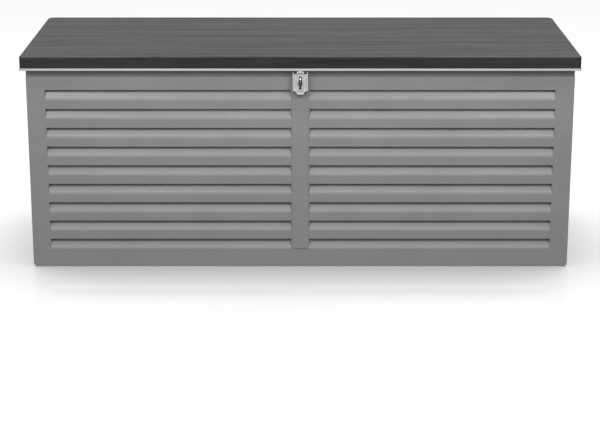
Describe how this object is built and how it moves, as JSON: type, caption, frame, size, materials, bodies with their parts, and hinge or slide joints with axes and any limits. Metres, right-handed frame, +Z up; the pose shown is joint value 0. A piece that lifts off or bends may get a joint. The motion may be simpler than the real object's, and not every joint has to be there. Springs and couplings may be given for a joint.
{
  "type": "deck storage box",
  "caption": "Long outdoor storage box with louvred resin walls, a hinged flat lid with a dark grained cover, gas struts and a slotted hasp over a padlock staple.",
  "frame": {"origin": "centre of the bounding box, on the ground", "axes": "+X along the width to the viewer's right, the hasp side faces -Y, +Z up"},
  "size_m": [1.4524, 0.5894, 0.572],
  "materials": {
    "cover": "dark charcoal moulded resin with a fine lengthwise wood grain",
    "liner": "light grey moulded resin, fine satin texture",
    "panel": "mid grey moulded resin, fine satin texture",
    "hasp": "light grey satin resin",
    "socket": "black moulded plastic",
    "zinc": "zinc-plated steel",
    "rod_steel": "polished steel",
    "black_steel": "black painted steel tube"
  },
  "bodies": {
    "box": {"front_panel": "panel", "back_panel": "panel", "side_panel_left": "panel", "side_panel_right": "panel", "floor_panel": "panel", "padlock_staple": "zinc", "staple_screw_1": "zinc", "staple_screw_2": "zinc", "hinge_1_body_leaf": "zinc", "hinge_1_pin": "zinc", "hinge_1_body_screw_1": "zinc", "hinge_1_body_screw_2": "zinc", "hinge_2_body_leaf": "zinc", "hinge_2_pin": "zinc", "hinge_2_body_screw_1": "zinc", "hinge_2_body_screw_2": "zinc", "hinge_3_body_leaf": "zinc", "hinge_3_pin": "zinc", "hinge_3_body_screw_1": "zinc", "hinge_3_body_screw_2": "zinc", "strut_foot_bracket_left": "zinc", "strut_foot_screw_left_1": "zinc", "strut_foot_screw_left_2": "zinc", "strut_foot_bracket_right": "zinc", "strut_foot_screw_right_1": "zinc", "strut_foot_screw_right_2": "zinc"},
    "lid": {"lid_cover": "cover", "lid_liner": "liner", "hasp_pin": "zinc", "hinge_1_lid_leaf": "zinc", "hinge_1_lid_screw_1": "zinc", "hinge_1_lid_screw_2": "zinc", "hinge_2_lid_leaf": "zinc", "hinge_2_lid_screw_1": "zinc", "hinge_2_lid_screw_2": "zinc", "hinge_3_lid_leaf": "zinc", "hinge_3_lid_screw_1": "zinc", "hinge_3_lid_screw_2": "zinc", "strut_head_bracket_left": "zinc", "strut_head_screw_left_1": "zinc", "strut_head_screw_left_2": "zinc", "strut_head_bracket_right": "zinc", "strut_head_screw_right_1": "zinc", "strut_head_screw_right_2": "zinc"},
    "hasp": {"hasp_flap": "hasp"},
    "strut_cylinder_left_body": {"strut_cylinder_left": "black_steel", "strut_foot_socket_left": "socket"},
    "strut_rod_left_body": {"strut_rod_left": "rod_steel", "strut_head_socket_left": "socket"},
    "strut_cylinder_right_body": {"strut_cylinder_right": "black_steel", "strut_foot_socket_right": "socket"},
    "strut_rod_right_body": {"strut_rod_right": "rod_steel", "strut_head_socket_right": "socket"}
  },
  "joints": [
    {"name": "lid_hinge", "type": "hinge", "parent": "box", "child": "lid", "pos_m": [0, 0.278, 0.532], "axis": [-1, 0, 0], "range_deg": [0, 90]},
    {"name": "hasp_swing", "type": "hinge", "parent": "lid", "child": "hasp", "pos_m": [0, -0.2785, 0.5295], "axis": [-1, 0, 0], "range_deg": [0, 100]},
    {"name": "strut_cylinder_left_swing", "type": "hinge", "parent": "box", "child": "strut_cylinder_left_body", "pos_m": [-0.675, 0.198, 0.30573], "axis": [-1, 0, 0], "range_deg": [0, 45]},
    {"name": "strut_rod_left_swing", "type": "hinge", "parent": "lid", "child": "strut_rod_left_body", "pos_m": [-0.675, 0.038, 0.532], "axis": [-1, 0, 0], "range_deg": [-45, 0]},
    {"name": "strut_cylinder_right_swing", "type": "hinge", "parent": "box", "child": "strut_cylinder_right_body", "pos_m": [0.675, 0.198, 0.30573], "axis": [-1, 0, 0], "range_deg": [0, 45]},
    {"name": "strut_rod_right_swing", "type": "hinge", "parent": "lid", "child": "strut_rod_right_body", "pos_m": [0.675, 0.038, 0.532], "axis": [-1, 0, 0], "range_deg": [-45, 0]}
  ],
  "couplings": [
    {"joint": "strut_cylinder_left_swing", "follows": "lid_hinge", "ratio": 0.5},
    {"joint": "strut_rod_left_swing", "follows": "lid_hinge", "ratio": -0.5},
    {"joint": "strut_cylinder_right_swing", "follows": "lid_hinge", "ratio": 0.5},
    {"joint": "strut_rod_right_swing", "follows": "lid_hinge", "ratio": -0.5}
  ]
}
